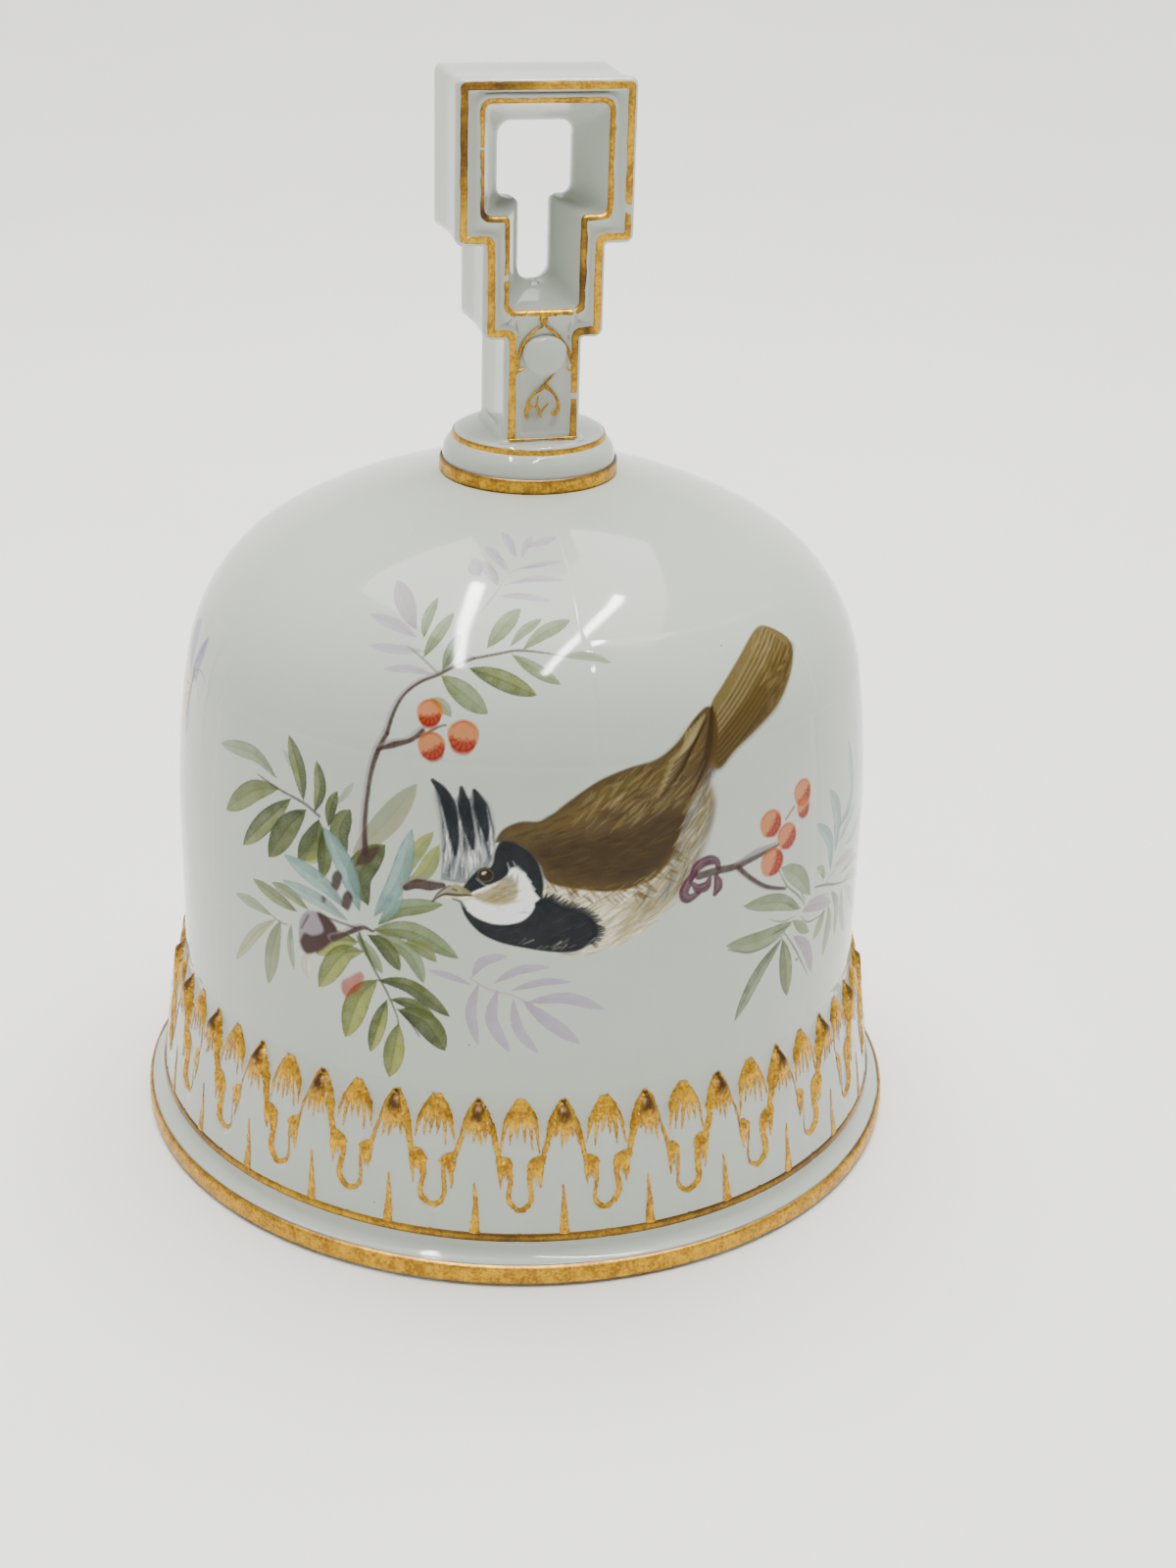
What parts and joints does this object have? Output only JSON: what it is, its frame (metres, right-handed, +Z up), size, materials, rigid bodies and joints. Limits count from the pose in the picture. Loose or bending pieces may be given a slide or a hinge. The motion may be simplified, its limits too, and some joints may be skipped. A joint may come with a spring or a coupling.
{
  "type": "porcelain table bell",
  "caption": "Domed porcelain hand bell with a flared foot, a stepped pierced handle and a porcelain ball clapper that hangs on a ring inside and swings freely.",
  "frame": {"origin": "middle of the foot ring's underside, on the bell's axis", "axes": "+Z up along the bell's axis; the handle's broad faces look along -Y (front) and +Y (back); X runs across the handle"},
  "size_m": [0.09, 0.09, 0.1204],
  "materials": {
    "porcelain": "clear glaze over white porcelain",
    "brass_wire": "drawn brass, dulled",
    "gilding": "burnished gold lustre, brushed on",
    "enamel_paint": "on-glaze enamel painting, fired to a gloss"
  },
  "bodies": {
    "bell": {"bell_shell": "porcelain", "handle_collar": "porcelain", "handle_frame": "porcelain", "front_boss": "porcelain", "back_boss": "porcelain", "crown_lug": "porcelain"},
    "ring": {"hanging_ring": "brass_wire"},
    "clapper": {"clapper_wire": "brass_wire", "clapper_ball": "porcelain", "upper_washer": "brass_wire", "lower_washer": "brass_wire"}
  },
  "joints": [
    {"name": "ring_swing", "type": "hinge", "parent": "bell", "child": "ring", "pos_m": [0, 0, 0.069], "axis": [0, 1, 0], "range_deg": [-28, 28]},
    {"name": "clapper_swing", "type": "hinge", "parent": "ring", "child": "clapper", "pos_m": [0, 0, 0.0645], "axis": [1, 0, 0], "range_deg": [-28, 28]}
  ]
}
